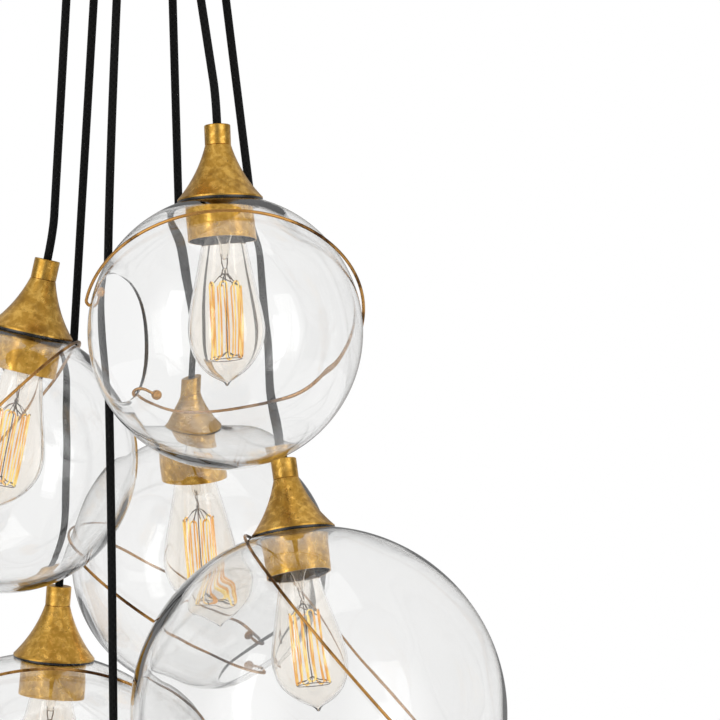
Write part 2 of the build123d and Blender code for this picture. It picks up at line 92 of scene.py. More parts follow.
# %% Places
small_globe, large_globe = 0.102, 0.142
PENDANTS = {
    1: dict(globe_r=small_globe, collar_top=(0.056, -0.080, -0.159), lean=(2.4, 9.0),
            opening=(-0.912, 0.40, -0.07), exit_place=5, bends=[]),
    2: dict(globe_r=small_globe, collar_top=(-0.075, 0.012, -0.262), lean=(-12.5, 1.5),
            opening=(-0.83, 0.16, -0.53), exit_place=3, bends=[]),
    3: dict(globe_r=small_globe, collar_top=(0.025, 0.149, -0.353), lean=(4.6, -8.0),
            opening=(0.52, 0.15, -0.84), exit_place=1, bends=[]),
    4: dict(globe_r=large_globe, collar_top=(0.104, -0.002, -0.413), lean=(8.1, 13.0),
            opening=(0.84, 0.10, -0.53), exit_place=0, bends=[]),
    5: dict(globe_r=large_globe, collar_top=(-0.073, 0.134, -0.521), lean=(-4.4, -2.5),
            opening=(-0.93, 0.30, -0.20), exit_place=2, bends=[]),
    6: dict(globe_r=small_globe, collar_top=(-0.022, -0.076, -0.650), lean=(0.0, 6.0),
            opening=(-0.80, -0.55, -0.25), exit_place=4,
            bends=[(-0.028, -0.062, -0.252), (-0.024, -0.068, -0.415)]),
}
degrees_between_exits = 60.0
cap_base = -0.0565              # the cap's lower edge, in a pendant's frame
cap_base_r = 0.03175
gasket_thickness = 0.0015
sleeve_end = -0.0875


def axis_down(pendant):
    right, front = pendant["lean"]
    return Vector((tan(radians(right)), -tan(radians(front)), -1.0)).normalized()


def pendant_matrix(pendant):
    """Upright pendant frame to its place in the cluster."""
    up = -axis_down(pendant)
    side = Vector((0.0, 1.0, 0.0)).cross(up).normalized()
    turn = Matrix((side, up.cross(side), up)).transposed().to_4x4()
    return Matrix.Translation(pendant["collar_top"]) @ turn


def globe_centre(pendant):
    reach = sqrt(pendant["globe_r"]**2 - cap_base_r**2) + gasket_thickness - cap_base
    return Vector(pendant["collar_top"]) + axis_down(pendant) * reach


for number, pendant in PENDANTS.items():
    low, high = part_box(f"globe_{number}")
    print(f"globe {number}: centre {globe_centre(pendant)[:]}, CAD middle {((low + high) / 2)[:]}")

# %% [markdown]
# ## The cords
#
# Each cord is one taut length that leaves the mouth of its grip in the canopy, swings over to its
# pendant and goes down into the collar. It is a smooth NURBS curve through the same points as in
# the CAD source, with a round bevel. Its bevel is one metre, times the radius of each point. Just
# above the collar it has one more point, as far from the bend as the cord's end is, so that it
# comes into the collar in line.

# %% Six taut cords
cord_r = 0.0032
exit_circle_r = 0.059
exit_first_angle = 12.0
exit_drop = 0.042
cord_knee = 0.020
cord_grip_depth = 0.009
cords = {}
for number, pendant in PENDANTS.items():
    angle = radians(exit_first_angle + degrees_between_exits * pendant["exit_place"])
    start = Vector((exit_circle_r * cos(angle), exit_circle_r * sin(angle), -exit_drop))
    top, down = Vector(pendant["collar_top"]), axis_down(pendant)
    knee, end = top - down * cord_knee, top + down * cord_grip_depth
    before = [start] + [Vector(bend) for bend in pendant["bends"]]
    above = knee + (before[-1] - knee).normalized() * (end - knee).length
    route = before + [above, knee, end]

    curve = bpy.data.curves.new(f"cloth_cord_{number}", "CURVE")
    curve.dimensions = "3D"
    curve.bevel_depth = 1.0     # times each point's own radius
    curve.bevel_resolution = 6
    curve.resolution_u = 24
    curve.use_fill_caps = True
    spline = curve.splines.new("NURBS")
    spline.points.add(len(route) - 1)
    for point, place in zip(spline.points, route):
        point.co = (*place, 1.0)
        point.radius = cord_r
    spline.order_u = 3
    spline.use_endpoint_u = True
    cord = bpy.data.objects.new(f"cloth_cord_{number}", curve)
    scene.collection.objects.link(cord)
    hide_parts(f"cord_{number}")
    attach(cord, f"hanging_cord_{number}")
    cords[number] = cord

# %% [markdown]
# ## Hand tools
#
# Three ways of making a piece come up again and again, so each is one helper. A *turned* piece is
# a profile, drawn by extruding one vertex from point to point and then spun about Z, as on a
# lathe. A *wire* is a drawn line that is turned into a curve, given a round bevel, and made a mesh
# again. And a finished piece is *hung*: its mesh is moved from the upright pendant frame to its
# place, so that its object stays at the origin, as the CAD nodes do.

# %% Drawing, turning, bending wire, hanging


def deselect_all():
    if bpy.context.object is not None and bpy.context.object.mode != "OBJECT":
        bpy.ops.object.mode_set(mode="OBJECT")
    bpy.ops.object.select_all(action="DESELECT")


def choose(piece):
    deselect_all()
    piece.select_set(True)
    bpy.context.view_layer.objects.active = piece


def draw_line(name, points):
    """One vertex, put on the first point and extruded on to each of the others."""
    deselect_all()
    bpy.ops.mesh.primitive_plane_add(size=0.002, location=(0.0, 0.0, 0.0))
    piece = bpy.context.object
    piece.name = name
    bpy.ops.object.mode_set(mode="EDIT")
    bpy.ops.mesh.select_mode(type="VERT")
    bpy.ops.mesh.select_all(action="SELECT")
    bpy.ops.mesh.merge(type="CENTER")
    bpy.ops.transform.translate(value=points[0])
    for here, after in zip(points, points[1:]):
        step = Vector(after) - Vector(here)
        bpy.ops.mesh.extrude_vertices_move(TRANSFORM_OT_translate={"value": step})
    bpy.ops.object.mode_set(mode="OBJECT")
    return piece


def turned(name, outline, steps=64):
    """Spin a profile of (radius, height) points about Z. Points on the axis close into a pole."""
    piece = draw_line(name, [(r, 0.0, z) for r, z in outline])
    bpy.ops.object.mode_set(mode="EDIT")
    bpy.ops.mesh.select_all(action="SELECT")
    bpy.ops.mesh.spin(steps=steps, angle=2.0 * pi, center=(0.0, 0.0, 0.0), axis=(0.0, 0.0, 1.0))
    bpy.ops.mesh.select_all(action="SELECT")
    bpy.ops.mesh.remove_doubles(threshold=1e-6)
    bpy.ops.mesh.normals_make_consistent(inside=False)
    bpy.ops.object.mode_set(mode="OBJECT")
    return piece


def wire(name, points, radius, sides=3):
    """A round wire along points, with closed ends. Its bevel has four sides for each of sides."""
    piece = draw_line(name, points)
    choose(piece)
    bpy.ops.object.convert(target="CURVE")
    piece = bpy.context.object
    piece.data.bevel_depth = radius
    piece.data.bevel_resolution = sides
    piece.data.use_fill_caps = True
    bpy.ops.object.convert(target="MESH")
    piece = bpy.context.object
    bpy.ops.object.shade_smooth()
    return piece


def joined(name, pieces):
    deselect_all()
    for piece in pieces:
        piece.select_set(True)
    bpy.context.view_layer.objects.active = pieces[0]
    bpy.ops.object.join()
    pieces[0].name = name
    pieces[0].data.name = name
    return pieces[0]


def modify(piece, kind, **values):
    """Add a modifier, set it and apply it."""
    choose(piece)
    modifier = piece.modifiers.new(kind.lower(), kind)
    for key, value in values.items():
        setattr(modifier, key, value)
    bpy.ops.object.modifier_apply(modifier=modifier.name)


def smooth_by_angle(piece, degrees):
    choose(piece)
    bpy.ops.object.shade_smooth_by_angle(angle=radians(degrees))


def hung_copy(master, name, matrix):
    """A copy with its own mesh, moved into place and then applied."""
    choose(master)
    bpy.ops.object.duplicate(linked=False)
    piece = bpy.context.object
    piece.name = name
    piece.data.name = name
    piece.matrix_world = matrix
    bpy.ops.object.transform_apply(location=True, rotation=True, scale=True)
    return piece


# %% [markdown]
# ## The blown globes
#
# A globe is a sphere of about three millimetres of glass, with a hole in the top for the lamp
# holder and a large round opening at the side, both with melted, rounded rims. It starts as a
# sphere whose pole looks out of the opening, so that the cut follows a ring of edges, and two
# bisect cuts open it. Hand-blown glass is round outside but its wall is thicker here and thinner
# there, and that is what makes a cord behind it look bent. So the Solidify modifier, which gives
# the wall, takes its thickness from a vertex group with slow noise in it. The wall is even round
# the neck, where the cap and the sleeve seat on it, and thickest at the opening, where the rim ran
# together in the flame. A Bevel then rounds both rims.

# %% Blow six globes
wall_thick, wall_thin = 0.0046, 0.0014
wall_at_neck = 0.0030
neck_even_r, neck_fade_r = 0.032, 0.050
rim_swell = 0.006               # width of the thicker, melted rim of the opening
neck_hole_r = 0.0203
opening_r = 0.049
unevenness_scale = 11.0         # waves of the wall, per metre
finer_scale, finer_share = 2.3, 0.12    # a second set of waves, against the first
unevenness_gain = 1.6           # how soon a wave reaches the thickest or thinnest wall
rim_round = 0.0015
rim_angle = 50.0                # an edge sharper than this, in degrees, is a rim
smooth_angle = 60.0
globes = {}


def fade(value, low, high):
    share = min(max((value - low) / (high - low), 0.0), 1.0)
    return share * share * (3.0 - 2.0 * share)


def cut(plane_point, plane_normal):
    """Cut everything off on the side of the plane to which its normal points."""
    bpy.ops.object.mode_set(mode="EDIT")
    bpy.ops.mesh.select_all(action="SELECT")
    bpy.ops.mesh.bisect(plane_co=plane_point, plane_no=plane_normal, use_fill=False,
                        clear_inner=False, clear_outer=True)
    bpy.ops.object.mode_set(mode="OBJECT")


for number, pendant in PENDANTS.items():
    globe_r = pendant["globe_r"]
    opening = Vector(pendant["opening"]).normalized()
    up = -axis_down(pendant)
    deselect_all()
    bpy.ops.mesh.primitive_uv_sphere_add(segments=144, ring_count=96, radius=globe_r,
                                         rotation=opening.to_track_quat("Z", "Y").to_euler())
    globe = bpy.context.object
    globe.name = f"blown_globe_{number}"
    bpy.ops.object.transform_apply(location=True, rotation=True, scale=True)
    cut(opening * sqrt(globe_r**2 - opening_r**2), opening)
    cut(up * sqrt(globe_r**2 - neck_hole_r**2), up)

    group = globe.vertex_groups.new(name="wall")
    shift = Vector((3.1, 7.7, 1.9)) * number
    for vertex in globe.data.vertices:
        wave = noise.noise(vertex.co * unevenness_scale + shift)
        wave += finer_share * noise.noise(vertex.co * unevenness_scale * finer_scale + shift)
        weight = 0.5 + 0.5 * tanh(unevenness_gain * wave)
        off_axis = (vertex.co - up * vertex.co.dot(up)).length
        if vertex.co.dot(up) > 0.0:
            even = (wall_at_neck - wall_thin) / (wall_thick - wall_thin)
            weight = even + (weight - even) * fade(off_axis, neck_even_r, neck_fade_r)
        from_rim = sqrt(globe_r**2 - opening_r**2) - vertex.co.dot(opening)
        weight = 1.0 + (weight - 1.0) * fade(from_rim, 0.0, rim_swell)
        group.add([vertex.index], weight, "REPLACE")
    modify(globe, "SOLIDIFY", thickness=wall_thick, offset=-1.0, vertex_group="wall",
           thickness_vertex_group=wall_thin / wall_thick, use_rim=True)
    modify(globe, "BEVEL", width=rim_round, segments=4, limit_method="ANGLE",
           angle_limit=radians(rim_angle))
    smooth_by_angle(globe, smooth_angle)
    globe.location = globe_centre(pendant)
    bpy.ops.object.transform_apply(location=True, rotation=True, scale=True)
    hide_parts(f"globe_{number}")
    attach(globe, f"pendant_{number}")
    globes[number] = globe
print(f"{len(globes)} globes, {len(globes[1].data.polygons)} faces on the first")

# %% [markdown]
# ## The lamp's glass
#
# A long pear that narrows to a small pip, where it was sealed off. Only its outside is turned.
# Subdivision smooths the profile, and Solidify then adds the thin wall on the inside.

# %% Lamp glass
# radius in metres, and height over the sleeve's end in millimetres
lamp_profile = [(0.0126, 8.0), (0.0145, 4.0), (0.0160, 0.0), (0.0178, -10.0), (0.0206, -22.0),
                (0.0240, -36.0), (0.0275, -50.0), (0.0296, -61.0), (0.0297, -69.0),
                (0.0280, -78.0), (0.0244, -86.0), (0.0192, -93.0), (0.0132, -98.5),
                (0.0075, -102.0), (0.0032, -104.2), (0.0017, -105.8), (0.0012, -107.4),
                (0.0, -108.0)]
lamp_wall = 0.0015
lamp_glass = turned("lamp_glass", [(r, sleeve_end + z / 1000.0) for r, z in lamp_profile], 48)
modify(lamp_glass, "SUBSURF", levels=1, render_levels=1)
modify(lamp_glass, "SOLIDIFY", thickness=lamp_wall, offset=-1.0, use_rim=True)
smooth_by_angle(lamp_glass, smooth_angle)
print(f"lamp glass: {len(lamp_glass.data.polygons)} faces")

# %% [markdown]
# ## The lamp's base, stem and wires
#
# Down in the holder the lamp ends in a screw base with a rolled thread and a centre contact. A
# hollow glass stem stands inside the lamp, pinched flat where the wires leave it. Two lead wires
# carry the current, and a crown of thin wires above and below holds the filament's turns, the
# lower one with a hoop. Each is drawn as a line and bevelled, or turned.

# %% Screw base and stem
base_r = 0.0131
base_low = sleeve_end + 0.008
plain_band = 0.002              # below the thread
thread_turns = 4
thread_pitch = 0.00363
root_r, crest_r = base_r - 0.0008, base_r - 0.0001
base_profile = [(0.0125, base_low), (base_r, base_low + 0.0002), (base_r, base_low + plain_band)]
for turn in range(thread_turns):
    low = base_low + plain_band + turn * thread_pitch
    base_profile += [(root_r, low + 0.0005), (crest_r, low + 0.0014),
                     (crest_r, low + 0.0022), (root_r, low + 0.0031)]
base_profile += [(0.0115, base_low + 0.018), (0.0068, base_low + 0.019),
                 (0.0048, base_low + 0.0225), (0.0028, base_low + 0.024),
                 (0.0, base_low + 0.024)]
lamp_base = turned("lamp_base", base_profile, 48)
smooth_by_angle(lamp_base, 40.0)

stem_tip = sleeve_end - 0.0135
stem_wall = 0.0007
bead_z = stem_tip - 0.0085      # a glass bead on the lead wires
bead_r = 0.0021
stem_profile = [(0.0115, base_low - 0.0005), (0.0082, base_low - 0.003),
                (0.0052, base_low - 0.0065), (0.0040, base_low - 0.0105),
                (0.0037, stem_tip + 0.005), (0.0031, stem_tip + 0.0022),
                (0.0020, stem_tip + 0.0005), (0.0, stem_tip)]
lamp_stem = turned("lamp_stem", stem_profile, 32)
modify(lamp_stem, "SUBSURF", levels=1, render_levels=1)
modify(lamp_stem, "SOLIDIFY", thickness=stem_wall, offset=-1.0, use_rim=True)
deselect_all()
bpy.ops.mesh.primitive_uv_sphere_add(segments=20, ring_count=12, radius=bead_r,
                                     location=(0.0, 0.0, bead_z),
                                     scale=(1.0, 1.0, 1.25))
bead = bpy.context.object
bpy.ops.object.mode_set(mode="EDIT")
bpy.ops.mesh.select_all(action="SELECT")
bpy.ops.transform.resize(value=(1.15, 0.8, 1.0))
bpy.ops.object.mode_set(mode="OBJECT")
bpy.ops.object.transform_apply(location=True, rotation=True, scale=True)
lamp_stem = joined("lamp_stem", [lamp_stem, bead])
smooth_by_angle(lamp_stem, smooth_angle)
print(f"base {len(lamp_base.data.polygons)} faces, stem {len(lamp_stem.data.polygons)} faces")

# %% The filament and the wires that hold it
strands = 14
cage_r = 0.0118
cage_top = sleeve_end - 0.0305
cage_low = cage_top - 0.056
filament_r = 0.00062
lead_r, rod_r, support_r = 0.00045, 0.00042, 0.0003
strand_bow = 0.00045            # how far a strand bows out between its ends
strand_sway = 0.02              # and how far it sways round the cage, in radians
strand_step = 2.0 * pi / strands
turn_r = cage_r * sin(strand_step / 2.0)


def on_cage(angle, height, radius=cage_r):
    return Vector((radius * cos(angle), radius * sin(angle), height))


filament_path = []
for strand in range(strands):
    angle = strand * strand_step
    rising = strand % 2 == 1
    first, last = (cage_low, cage_top) if rising else (cage_top, cage_low)
    toward = 1.0 if rising else -1.0
    run = last - first - toward * 2.0 * turn_r
    for part in range(7):
        share = part / 6.0
        bow = strand_bow * sin(pi * share) * (1.0 if strand % 3 else -1.3)
        sway = strand_sway * sin(5.0 * share + strand)
        height = first + toward * turn_r + run * share
        filament_path.append(on_cage(angle + sway, height, cage_r + bow))
    if strand < strands - 1:
        half_step = strand_step / 2.0
        for part in range(1, 6):
            bend = pi * part / 6.0
            back = half_step * cos(bend)
            filament_path.append(on_cage(angle + half_step - back,
                                         last - toward * turn_r * (1.0 - sin(bend)),
                                         cage_r * cos(half_step) / cos(back)))
filament = wire("lamp_filament", filament_path, filament_r, sides=2)

wires = []
for side in (1.0, -1.0):
    end_angle = 0.0 if side > 0 else (strands - 1) * strand_step
    wires.append(wire("lead", [(0.0024 * side, 0.0004, stem_tip + 0.004),
                               (0.0021 * side, 0.0006, stem_tip - 0.002),
                               (0.0013 * side, -0.0004, stem_tip - 0.006),
                               (0.0019 * side, 0.0002, bead_z),
                               (0.0034 * side, 0.0006, bead_z - 0.004),
                               on_cage(end_angle, cage_top - turn_r - 0.0008)], lead_r))
rod_low = cage_low + 0.004
wires.append(wire("rod", [(0.0, 0.0, bead_z + 0.001), (0.0004, 0.0, bead_z - 0.02),
                          (-0.0003, 0.0003, cage_low + 0.025), (0.0, 0.0, rod_low)], rod_r))
for hook in range(strands - 1):
    angle = (hook + 0.5) * strand_step
    at_bottom = hook % 2 == 0
    level = cage_low if at_bottom else cage_top
    inward = 1.0 if at_bottom else -1.0
    root = Vector((0.0, 0.0, rod_low + 0.001 if at_bottom else bead_z - 0.001))
    reach = cage_r * cos(strand_step / 2.0)
    loop = [on_cage(angle, level + inward * (filament_r + 0.0007), reach - 0.0010),
            on_cage(angle, level + inward * (filament_r + support_r), reach + 0.0002),
            on_cage(angle, level + inward * 0.0002, reach + 0.0011),
            on_cage(angle, level - inward * 0.0007, reach + 0.0006)]
    middle = (root + loop[0]) / 2.0
    middle.z += -0.0012 if at_bottom else 0.0014
    wires.append(wire("hook", [root, middle] + loop, support_r, sides=1))
deselect_all()
bpy.ops.mesh.primitive_torus_add(major_radius=cage_r - 0.0004, minor_radius=support_r,
                                 major_segments=48, minor_segments=8,
                                 location=(0.0, 0.0, cage_low - 0.0012))
bpy.ops.object.shade_smooth()
bpy.ops.object.transform_apply(location=True, rotation=True, scale=True)
wires.append(bpy.context.object)
lamp_wires = joined("lamp_wires", wires)
print(f"filament {len(filament.data.polygons)} faces, wires {len(lamp_wires.data.polygons)}")

# %% Screw a lamp into each pendant
LAMP_PIECES = {"lamp_glass": (lamp_glass, "bulb_glass"), "lamp_base": (lamp_base, "lamp_metal"),
               "lamp_stem": (lamp_stem, "bulb_glass"), "lamp_wires": (lamp_wires, "lamp_metal"),
               "lamp_filament": (filament, "lamp_metal")}
lamp_turn = {1: 20.0, 2: 75.0, 3: 110.0, 4: 50.0, 5: 5.0, 6: 140.0}    # degrees in its holder
lamps = {name: [] for name in LAMP_PIECES}
for number, pendant in PENDANTS.items():
    matrix = pendant_matrix(pendant) @ Matrix.Rotation(radians(lamp_turn[number]), 4, "Z")
    for name, (master, slot) in LAMP_PIECES.items():
        piece = hung_copy(master, f"{name}_{number}", matrix)
        node_name = "bulb_glass" if name == "lamp_glass" else "bulb_core"
        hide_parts(f"{node_name}_{number}")
        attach(piece, f"lamp_{number}")
        lamps[name].append(piece)
for master, _ in LAMP_PIECES.values():
    bpy.data.objects.remove(master)
print(f"{sum(len(group) for group in lamps.values())} lamp pieces")

# %% [markdown]
# ## Shared effects
#
# Three things happen on more than one finish. *Mottling* is a slow, patchy change, such as where
# a brown patina was wiped off brass and where it stayed. *Fine grain* is the small roughness of a
# brushed or cast surface, as a bump. *Ripple* is the smooth swell of blown glass, as a bump with
# no detail. Each is a node group with its own inputs, and every material sets its own values.

# %% Node groups


def new_group(name, inputs, outputs):
    group = bpy.data.node_groups.new(name, "ShaderNodeTree")
    for label, kind, value in inputs:
        socket = group.interface.new_socket(label, in_out="INPUT", socket_type=kind)
        if value is not None:
            socket.default_value = value
    for label, kind in outputs:
        group.interface.new_socket(label, in_out="OUTPUT", socket_type=kind)
    return group, group.nodes.new("NodeGroupInput"), group.nodes.new("NodeGroupOutput")


def add_node(tree, kind, links=None, **values):
    """A node with its inputs linked or set by name, and its properties set."""
    node = tree.nodes.new(kind)
    for key, value in values.items():
        setattr(node, key, value)
    for key, value in (links or {}).items():
        if isinstance(value, bpy.types.NodeSocket):
            tree.links.new(value, node.inputs[key])
        else:
            node.inputs[key].default_value = value
    return node


mottle_group, entry, leave = new_group(
    "mottling", [("Size", "NodeSocketFloat", 30.0), ("Low", "NodeSocketFloat", 0.4),
                 ("High", "NodeSocketFloat", 0.6)], [("Mask", "NodeSocketFloat")])
place = add_node(mottle_group, "ShaderNodeTexCoord")
patches = add_node(mottle_group, "ShaderNodeTexNoise",
                   {"Vector": place.outputs["Object"], "Scale": entry.outputs["Size"],
                    "Detail": 6.0, "Roughness": 0.62, "Distortion": 0.4})
mask = add_node(mottle_group, "ShaderNodeMapRange",
                {"Value": patches.outputs["Fac"], "From Min": entry.outputs["Low"],
                 "From Max": entry.outputs["High"]}, interpolation_type="SMOOTHSTEP")
mottle_group.links.new(mask.outputs["Result"], leave.inputs["Mask"])

grain_group, entry, leave = new_group(
    "fine grain", [("Size", "NodeSocketFloat", 900.0), ("Depth", "NodeSocketFloat", 0.00003),
                   ("Strength", "NodeSocketFloat", 0.5)], [("Normal", "NodeSocketVector")])
place = add_node(grain_group, "ShaderNodeTexCoord")
specks = add_node(grain_group, "ShaderNodeTexNoise",
                  {"Vector": place.outputs["Object"], "Scale": entry.outputs["Size"],
                   "Detail": 3.0, "Roughness": 0.6})
bump = add_node(grain_group, "ShaderNodeBump",
                {"Height": specks.outputs["Fac"], "Distance": entry.outputs["Depth"],
                 "Strength": entry.outputs["Strength"]})
grain_group.links.new(bump.outputs["Normal"], leave.inputs["Normal"])

ripple_group, entry, leave = new_group(
    "ripple", [("Size", "NodeSocketFloat", 25.0), ("Depth", "NodeSocketFloat", 0.0004)],
    [("Normal", "NodeSocketVector")])
place = add_node(ripple_group, "ShaderNodeTexCoord")
swell = add_node(ripple_group, "ShaderNodeTexNoise",
                 {"Vector": place.outputs["Object"], "Scale": entry.outputs["Size"],
                  "Detail": 0.0, "Roughness": 0.0})
bump = add_node(ripple_group, "ShaderNodeBump",
                {"Height": swell.outputs["Fac"], "Distance": entry.outputs["Depth"],
                 "Strength": 1.0})
ripple_group.links.new(bump.outputs["Normal"], leave.inputs["Normal"])


def new_material(name, **constants):
    """A material and its Principled shader, with constants on the shader's own sockets."""
    material = bpy.data.materials.new(name)
    material.use_nodes = True
    shader = material.node_tree.nodes["Principled BSDF"]
    for key, value in constants.items():
        shader.inputs[key.replace("_", " ")].default_value = value
    return material, material.node_tree, shader


def use_group(tree, group, **values):
    node = tree.nodes.new("ShaderNodeGroup")
    node.node_tree = group
    for key, value in values.items():
        node.inputs[key].default_value = value
    return node


def mix_colour(tree, mask, first, second):
    node = add_node(tree, "ShaderNodeMix", data_type="RGBA")
    for socket, value in ((node.inputs[0], mask), (node.inputs[6], first),
                          (node.inputs[7], second)):
        if isinstance(value, bpy.types.NodeSocket):
            tree.links.new(value, socket)
        else:
            socket.default_value = value
    return node.outputs[2]


# %% [markdown]
# ## Aged brass
#
# The caps, sleeves and collars are brass that was darkened in a bath and rubbed back by hand: a
# warm gold, brighter where it was rubbed, with brown patches and some dark specks. Three sizes of
# mottling make the three, and the rubbed places are also smoother than the rest.

# %% Brass finishes
gold = (0.50, 0.27, 0.045, 1.0)
rubbed_gold = (0.78, 0.47, 0.11, 1.0)
brown = (0.21, 0.105, 0.022, 1.0)
speck_brown = (0.06, 0.030, 0.010, 1.0)
# near black: painted shade for the inside of each sleeve
inside_painted_shade = (0.012, 0.008, 0.005, 1.0)
deepest_patch = 0.55            # of the way from the gold to the brown

aged_brass, tree, shader = new_material("aged_brass", Metallic=1.0)
patches = use_group(tree, mottle_group, Size=70.0, Low=0.46, High=0.70)
rubs = use_group(tree, mottle_group, Size=190.0, Low=0.40, High=0.68)
specks = use_group(tree, mottle_group, Size=560.0, Low=0.64, High=0.70)
colour = mix_colour(tree, rubs.outputs["Mask"], gold, rubbed_gold)
half_patches = add_node(tree, "ShaderNodeMath",
                        {0: patches.outputs["Mask"], 1: deepest_patch}, operation="MULTIPLY")
colour = mix_colour(tree, half_patches.outputs[0], colour, brown)
colour = mix_colour(tree, specks.outputs["Mask"], colour, speck_brown)
tree.links.new(colour, shader.inputs["Base Color"])
roughness = add_node(tree, "ShaderNodeMapRange",
                     {"Value": rubs.outputs["Mask"], "To Min": 0.36, "To Max": 0.24})
tree.links.new(roughness.outputs["Result"], shader.inputs["Roughness"])
grain = use_group(tree, grain_group, Size=1500.0, Depth=0.00004, Strength=0.35)
tree.links.new(grain.outputs["Normal"], shader.inputs["Normal"])
print(f"aged_brass has {len(tree.nodes)} nodes")

# %% [markdown]
# The inside of a sleeve is painted near black, as painted shade for the deep gap round the lamp.
# Each sleeve gets a copy of the brass in which a Mapping node carries the point back to the
# upright pendant, where the distance from the axis tells inside from outside.

# %% Sleeves, with painted shade inside
sleeve_inner_r = 0.0241


def sleeve_brass_painted_shade(number):
    material = aged_brass.copy()
    material.name = f"sleeve_brass_painted_shade_{number}"
    tree = material.node_tree
    shader = tree.nodes["Principled BSDF"]
    back = pendant_matrix(PENDANTS[number]).inverted()
    place = add_node(tree, "ShaderNodeTexCoord")
    upright = add_node(tree, "ShaderNodeMapping",
                       {"Vector": place.outputs["Object"], "Location": back.to_translation(),
                        "Rotation": back.to_euler()})
    across = add_node(tree, "ShaderNodeVectorMath", {0: upright.outputs["Vector"],
                                                     1: (1.0, 1.0, 0.0)}, operation="MULTIPLY")
    reach = add_node(tree, "ShaderNodeVectorMath", {0: across.outputs["Vector"]},
                     operation="LENGTH")
    unshaded_outside = add_node(tree, "ShaderNodeMapRange",
                       {"Value": reach.outputs["Value"], "From Min": sleeve_inner_r + 0.0002,
                        "From Max": sleeve_inner_r + 0.0006})
    rubbed = shader.inputs["Base Color"].links[0].from_socket
    # inside the sleeve the brass is painted near black, as painted shade
    colour = mix_colour(tree, unshaded_outside.outputs["Result"], inside_painted_shade, rubbed)
    tree.links.new(colour, shader.inputs["Base Color"])
    return material


sleeve_materials = {number: sleeve_brass_painted_shade(number) for number in PENDANTS}
print(f"{len(sleeve_materials)} sleeve finishes")

# %% [markdown]
# The rings are of the same bath but hardly rubbed: copper brown along the wire, almost black in
# places.

# %% Ring wire
antique_wire, tree, shader = new_material("antique_wire", Metallic=1.0)
worn = use_group(tree, mottle_group, Size=24.0, Low=0.34, High=0.56)
colour = mix_colour(tree, worn.outputs["Mask"], (0.060, 0.026, 0.010, 1.0),
                    (0.50, 0.26, 0.075, 1.0))
tree.links.new(colour, shader.inputs["Base Color"])
roughness = add_node(tree, "ShaderNodeMapRange",
                     {"Value": worn.outputs["Mask"], "To Min": 0.42, "To Max": 0.24})
tree.links.new(roughness.outputs["Result"], shader.inputs["Roughness"])
grain = use_group(tree, grain_group, Size=1200.0, Depth=0.00005, Strength=0.4)
tree.links.new(grain.outputs["Normal"], shader.inputs["Normal"])

# %% [markdown]
# ## Zinc-plated steel, black holder and wiring
#
# The pieces that hide in the canopy are plain hardware. The lamp holder is glossy black phenolic,
# with moulding marks too fine to see as more than a slight unevenness.

# %% Hardware finishes
zinc_steel, tree, shader = new_material("zinc_steel", Metallic=1.0)
bloom = use_group(tree, mottle_group, Size=160.0, Low=0.35, High=0.65)
colour = mix_colour(tree, bloom.outputs["Mask"], (0.52, 0.53, 0.55, 1.0),
                    (0.68, 0.68, 0.66, 1.0))
tree.links.new(colour, shader.inputs["Base Color"])
roughness = add_node(tree, "ShaderNodeMapRange",
                     {"Value": bloom.outputs["Mask"], "To Min": 0.3, "To Max": 0.45})
tree.links.new(roughness.outputs["Result"], shader.inputs["Roughness"])

holder_black, tree, shader = new_material("holder_black", IOR=1.55)
scuffs = use_group(tree, mottle_group, Size=260.0, Low=0.5, High=0.75)
colour = mix_colour(tree, scuffs.outputs["Mask"], (0.012, 0.011, 0.010, 1.0),
                    (0.045, 0.042, 0.038, 1.0))
tree.links.new(colour, shader.inputs["Base Color"])
roughness = add_node(tree, "ShaderNodeMapRange",
                     {"Value": scuffs.outputs["Mask"], "To Min": 0.22, "To Max": 0.5})
tree.links.new(roughness.outputs["Result"], shader.inputs["Roughness"])

wiring, tree, shader = new_material("wiring")
dust = use_group(tree, mottle_group, Size=90.0, Low=0.4, High=0.7)
colour = mix_colour(tree, dust.outputs["Mask"], (0.02, 0.02, 0.022, 1.0),
                    (0.07, 0.068, 0.062, 1.0))
tree.links.new(colour, shader.inputs["Base Color"])
roughness = add_node(tree, "ShaderNodeMapRange",
                     {"Value": dust.outputs["Mask"], "To Min": 0.45, "To Max": 0.7})
tree.links.new(roughness.outputs["Result"], shader.inputs["Roughness"])

# %% [markdown]
# ## Braided cloth
#
# A lamp cord wears a tube of black cotton, braided from two sets of yarns that wind round it in
# opposite directions. The curve's own UV map runs round the cord, and the cords hang almost
# plumb, so height does for the way along. Two slanting waves, the higher of the two at each
# place, give the plaited diamonds.

# %% Cord cloth
yarn_turns = 5.0                # yarns round half a braid
yarn_rows = 620.0               # rows of the braid, per metre
yarn_height = 0.0003
lint_share = 0.25
cord_cloth, tree, shader = new_material("cord_cloth", Roughness=0.85, Sheen_Weight=0.04,
                                        Sheen_Roughness=0.5, Specular_IOR_Level=0.12)
place = add_node(tree, "ShaderNodeTexCoord")
round_cord = add_node(tree, "ShaderNodeSeparateXYZ", {"Vector": place.outputs["UV"]})
along_cord = add_node(tree, "ShaderNodeSeparateXYZ", {"Vector": place.outputs["Object"]})
turns = add_node(tree, "ShaderNodeMath", {0: round_cord.outputs["Y"], 1: yarn_turns * 2.0 * pi},
                 operation="MULTIPLY")
rows = add_node(tree, "ShaderNodeMath", {0: along_cord.outputs["Z"], 1: yarn_rows * 2.0},
                operation="MULTIPLY")
waves = []
for direction in ("ADD", "SUBTRACT"):
    phase = add_node(tree, "ShaderNodeMath", {0: rows.outputs[0], 1: turns.outputs[0]},
                     operation=direction)
    waves.append(add_node(tree, "ShaderNodeMath", {0: phase.outputs[0]}, operation="SINE"))
weave = add_node(tree, "ShaderNodeMath", {0: waves[0].outputs[0], 1: waves[1].outputs[0]},
                 operation="MAXIMUM")
